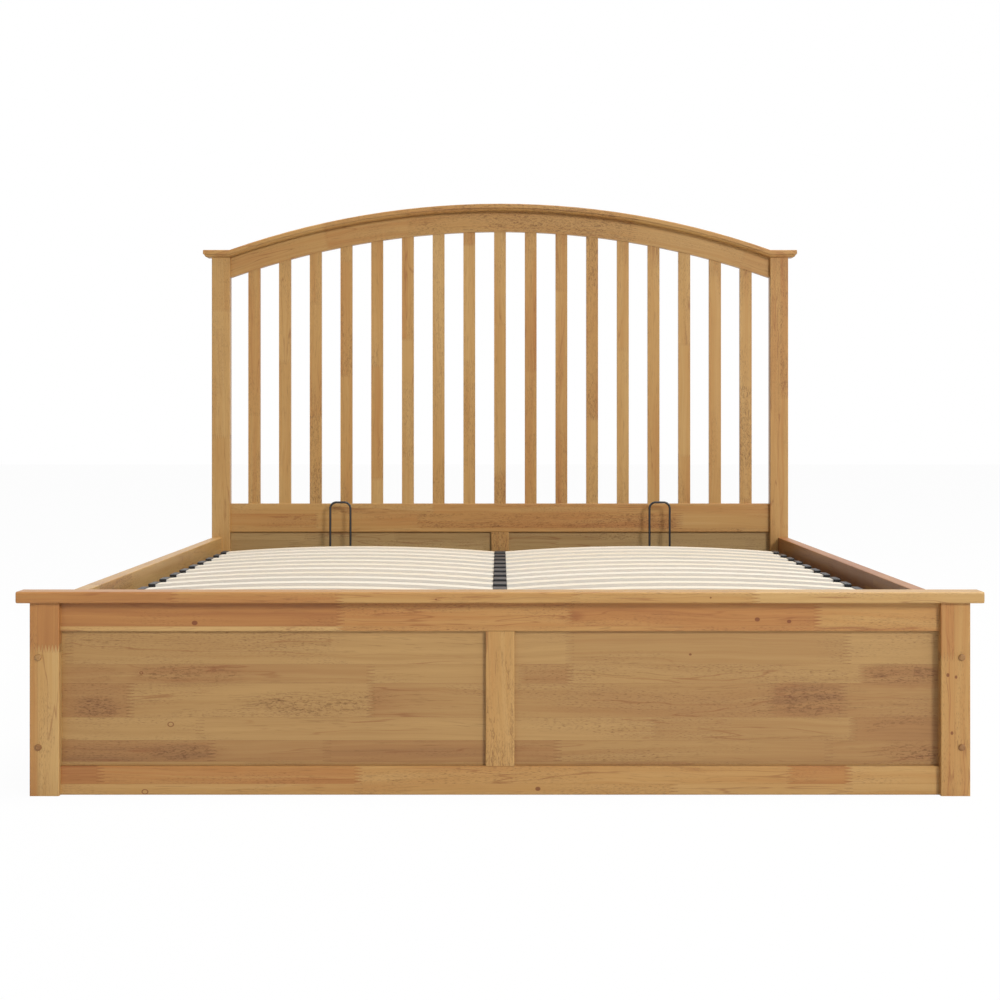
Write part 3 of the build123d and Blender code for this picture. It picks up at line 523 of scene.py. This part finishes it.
def paint_bed():
    """A material for every CAD node. Wood takes its grain from the axis that its piece runs along."""
    along_x = follow_axis("xzy")
    along_y = follow_axis("yzx")
    along_z = follow_axis("zxy")
    paint(wood("oak_cap", along_x, frame_tones, rows=cap_blocks, knots=cap_knots), "foot_cap_rail")
    # Painted shade: the top rail takes the darkened top rail tones.
    paint(wood("oak_foot_top", along_x, frame_tones, rows=top_rail_blocks_with_painted_shade, knots=top_rail_knots),
          "foot_top_rail")
    paint(wood("oak_foot_bottom", along_x, frame_tones, rows=bottom_rail_blocks, knots=bottom_rail_knots),
          "foot_bottom_rail")
    paint(wood("oak_foot_panel", along_x, panel_tones, rows=panel_blocks, figures=panel_figure,
               knots=panel_knots), "foot_panels")
    paint(wood("oak_left_leg", along_z, frame_tones, rows=left_leg_blocks), "foot_post_left")
    paint(wood("oak_right_leg", along_z, frame_tones, rows=right_leg_blocks, knots=right_leg_knots),
          "foot_post_right")
    paint(wood("oak_rail", along_x, frame_tones, strip=0.031, block=0.46, spread=0.5), "head_bottom_rail")
    paint(wood("oak_head_rail", along_x, frame_tones, strip=0.041, block=0.50, spread=0.3, base=0.22),
          "head_lower_rail")
    # Painted light: the head panels take the lighter head panel tones.
    paint(wood("oak_head_panel_painted_light", along_x, head_panel_tones_painted_light, strip=0.042, block=0.36), "head_panels")
    # Painted light and shade: the left side rails get paler tones for their inner face turned to the key
    # lamp, and the right side rails darker tones for their inner face turned away from it.
    paint(wood("oak_left_rail_painted_light", along_y, frame_tones, strip=0.031, block=0.46, spread=0.20, base=0.0),
          "side_top_rail_left", "side_bottom_rail_left")
    paint(wood("oak_right_rail_painted_shade", along_y, frame_tones, strip=0.031, block=0.46, spread=0.30, base=0.80),
          "side_top_rail_right", "side_bottom_rail_right")
    paint(wood("oak_side_panel", along_y, panel_tones, strip=0.042, block=0.36), *pairs("side_panels"))
    paint(wood("oak_post", along_z, frame_tones, strip=0.30, block=0.60, spread=0.25, base=0.16),
          "foot_muntin", "head_muntin", *pairs("head_post", "side_uprights"))
    paint(wood("oak_spindle", along_z, frame_tones, strip=0.0867, block=0.55, spread=0.28, base=0.14),
          "head_spindles")
    paint(wood("oak_arch", follow_arch, frame_tones, strip=0.2, block=0.42, spread=0.30, base=0.22),
          "head_arch_rail", "head_cap_moulding")
    paint(wood("oak_plug", along_y, plug_tones, strip=0.02, block=0.05, depth=0.7), "bolt_cover_plugs")
    paint(wood("pine", along_y, pine_tones, strip=0.3, block=3.0, spread=0.3, depth=0.8, rough=0.6),
          "floor_battens", "floor_centre_bearer", "platform_rest_blocks")
    paint(wood("floor_board", along_x, board_tones, strip=3.0, block=3.0, spread=0.3, depth=0.7, rough=0.55),
          "storage_floor_boards")
    paint(slat_wood(), *pairs("slats"))
    paint(speckled("holder_plastic", (24, 25, 28), 0.42, 0.0006, 0.00004),
          *pairs("slat_holders"), "slat_holders_centre", "tube_end_caps")
    paint(speckled("tube_coat", (38, 37, 37), 0.36, 0.0009, 0.00003),
          "frame_side_tubes", "frame_foot_tube", "frame_head_tube", "frame_centre_tube", "frame_cross_tubes")
    paint(speckled("wire_coat", (26, 26, 29), 0.32, 0.0007, 0.00002), "mattress_retainers")
    paint(speckled("hinge_coat", (40, 40, 43), 0.38, 0.0009, 0.00003),
          *pairs("mechanism_base_plate", "mechanism_front_arm", "mechanism_rear_link", "platform_bracket"))
    paint(speckled("strut_paint", (18, 18, 19), 0.25, 0.0012, 0.00001), *pairs("gas_strut_cylinder"))
    paint(speckled("pad_rubber", (30, 30, 30), 0.75, 0.0012, 0.00008), "platform_rest_pads")
    paint(drawn_metal("rod_chrome", (214, 216, 220), 0.10, "xz"), *pairs("gas_strut_rod"))
    paint(drawn_metal("zinc", (186, 188, 192), 0.30, "xyz"),
          "mechanism_base_pivots", "platform_bracket_pivots", "bed_bolts", "barrel_nuts", "base_plate_screws")


def webbing():
    """Woven polyester: raised ribs across the band and a fine twill."""
    s = Shade("strap_webbing")
    x, y, z = s.place()
    turn = s.add(y, s.times(z, 0.8))
    rib = s.calc("PINGPONG", s.times(turn, rib_rate), 0.5)
    yarn = s.calc("PINGPONG", s.times(x, yarn_rate), 0.5)
    fuzz = s.noise(s.stretch(x, y, z, (fuzz_rate, fuzz_rate)), 2.0)
    weave = s.add(s.times(rib, 1.1), s.times(yarn, 0.7))
    share = s.add(s.times(weave, 0.5), s.times(fuzz, 0.3))
    colour = s.mix(share, linear((14, 14, 15)), linear((52, 52, 55)))
    return s.finish(colour, 0.8, s.add(weave, s.times(fuzz, 0.4)), 0.0004, Sheen_Weight=0.2)


def strap_profile(inset):
    """Outline of the loop of webbing seen from the side, pulled in by inset, as (y, z) points."""
    low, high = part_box("pull_strap")
    middle_y, middle_z = (low.y + high.y) / 2, (low.z + high.z) / 2
    radius = (high.z - low.z) / 2
    reach = (high.y - low.y) / 2 - radius
    outline = []
    for centre, start in ((reach, -90), (-reach, 90)):
        for step in range(arc_steps + 1):
            angle = math.radians(start + 180 * step / arc_steps)
            outline.append((middle_y + centre + (radius - inset) * math.cos(angle),
                            middle_z + (radius - inset) * math.sin(angle)))
    for step in range(1, straight_steps):
        outline.append((middle_y - reach + 2 * reach * step / straight_steps, middle_z - radius + inset))
    return outline


def pull_strap():
    """Loop of webbing with bevelled selvedges. The section is a list of (x, inset) corners."""
    low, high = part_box("pull_strap")
    half = (high.x - low.x) / 2
    flat = half - selvedge
    section = [(-half, strap_thickness / 2), (-flat, 0.0), (flat, 0.0), (half, strap_thickness / 2),
               (flat, strap_thickness), (-flat, strap_thickness)]
    points = []
    loops = [strap_profile(inset) for _, inset in section]
    count = len(loops[0])
    for (x, _), loop in zip(section, loops):
        points += [(x, y, z) for y, z in loop]
    faces = []
    for ring in range(len(section)):
        after = (ring + 1) % len(section)
        for step in range(count):
            ahead = (step + 1) % count
            faces.append((ring * count + step, after * count + step,
                          after * count + ahead, ring * count + ahead))
    mesh = bpy.data.meshes.new("pull_strap_webbing")
    mesh.from_pydata(points, [], faces)
    mesh.polygons.foreach_set("use_smooth", [True] * len(mesh.polygons))
    strap = bpy.data.objects.new("pull_strap_webbing", mesh)
    bpy.context.collection.objects.link(strap)
    mesh.materials.append(webbing())
    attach(strap, "platform")
    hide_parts("pull_strap")


def lamp(name, place, size, power, colour):
    """A round lamp that points at the bed."""
    data = bpy.data.lights.new(name, "AREA")
    data.shape = "DISK"
    data.size = size
    data.energy = power
    data.color = colour
    made = bpy.data.objects.new(name, data)
    made.location = place
    aim = Vector(light_aim) - Vector(place)
    made.rotation_euler = aim.to_track_quat("-Z", "Y").to_euler()
    bpy.context.collection.objects.link(made)


def seen_by(tree, *kinds):
    """1 for the named kinds of ray, and 0 for the light that falls on the bed."""
    path = tree.nodes.new("ShaderNodeLightPath")
    seen = path.outputs[kinds[0]]
    for kind in kinds[1:]:
        larger = tree.nodes.new("ShaderNodeMath")
        larger.operation = "MAXIMUM"
        tree.links.new(seen, larger.inputs[0])
        tree.links.new(path.outputs[kind], larger.inputs[1])
        seen = larger.outputs[0]
    return seen


def surroundings():
    """White for the camera and for reflections, and a lower level for the light on the bed."""
    world = bpy.data.worlds.new("studio")
    bpy.context.scene.world = world
    world.use_nodes = True
    tree = world.node_tree
    level = tree.nodes.new("ShaderNodeMapRange")
    level.inputs["To Min"].default_value = ambient_level
    level.inputs["To Max"].default_value = 1.0
    tree.links.new(seen_by(tree, "Is Camera Ray", "Is Glossy Ray", "Is Transmission Ray"),
                   level.inputs["Value"])
    background = tree.nodes["Background"]
    background.inputs["Color"].default_value = (1.0, 1.0, 1.0, 1.0)
    tree.links.new(level.outputs["Result"], background.inputs["Strength"])


def studio_floor():
    """A plain white floor that keeps the bed's shadow."""
    corners = [(floor_half * x, floor_half * y, 0) for x, y in ((-1, -1), (1, -1), (1, 1), (-1, 1))]
    mesh = bpy.data.meshes.new("studio_floor")
    mesh.from_pydata(corners, [], [(0, 1, 2, 3)])
    floor = bpy.data.objects.new("studio_floor", mesh)
    floor.location.z = -floor_drop
    bpy.context.collection.objects.link(floor)
    material = bpy.data.materials.new("studio_white")
    material.use_nodes = True
    tree = material.node_tree
    surface = tree.nodes["Principled BSDF"]
    surface.inputs["Base Color"].default_value = (floor_grey, floor_grey, floor_grey, 1.0)
    surface.inputs["Roughness"].default_value = 0.9
    surface.inputs["Specular IOR Level"].default_value = 0.0
    share = tree.nodes.new("ShaderNodeMath")
    share.operation = "MULTIPLY"
    share.inputs[1].default_value = floor_glow
    tree.links.new(seen_by(tree, "Is Camera Ray", "Is Glossy Ray"), share.inputs[0])
    white = tree.nodes.new("ShaderNodeEmission")
    white.inputs["Strength"].default_value = 1.0
    mixed = tree.nodes.new("ShaderNodeMixShader")
    tree.links.new(share.outputs[0], mixed.inputs[0])
    tree.links.new(surface.outputs[0], mixed.inputs[1])
    tree.links.new(white.outputs[0], mixed.inputs[2])
    tree.links.new(mixed.outputs[0], tree.nodes["Material Output"].inputs["Surface"])
    mesh.materials.append(material)


def camera():
    """The level camera of the photograph, with its picture shifted down."""
    data = bpy.data.cameras.new("camera")
    data.sensor_fit = "HORIZONTAL"
    data.sensor_width = 36.0
    data.lens = camera_lens
    data.shift_y = camera_shift
    data.clip_end = 100.0
    data.dof.use_dof = False
    made = bpy.data.objects.new("camera", data)
    made.location = camera_place
    made.rotation_euler = (math.radians(90), 0.0, 0.0)
    bpy.context.collection.objects.link(made)
    bpy.context.scene.camera = made


camera()
surroundings()
studio_floor()
lamp("key", key_place, key_size, key_power, (1.0, 0.985, 0.96))
lamp("top", top_place, top_size, top_power, (1.0, 0.99, 0.97))
lamp("fill", fill_place, fill_size, fill_power, (0.97, 0.985, 1.0))
bpy.context.scene.view_settings.view_transform = "Standard"
paint_bed()
pull_strap()
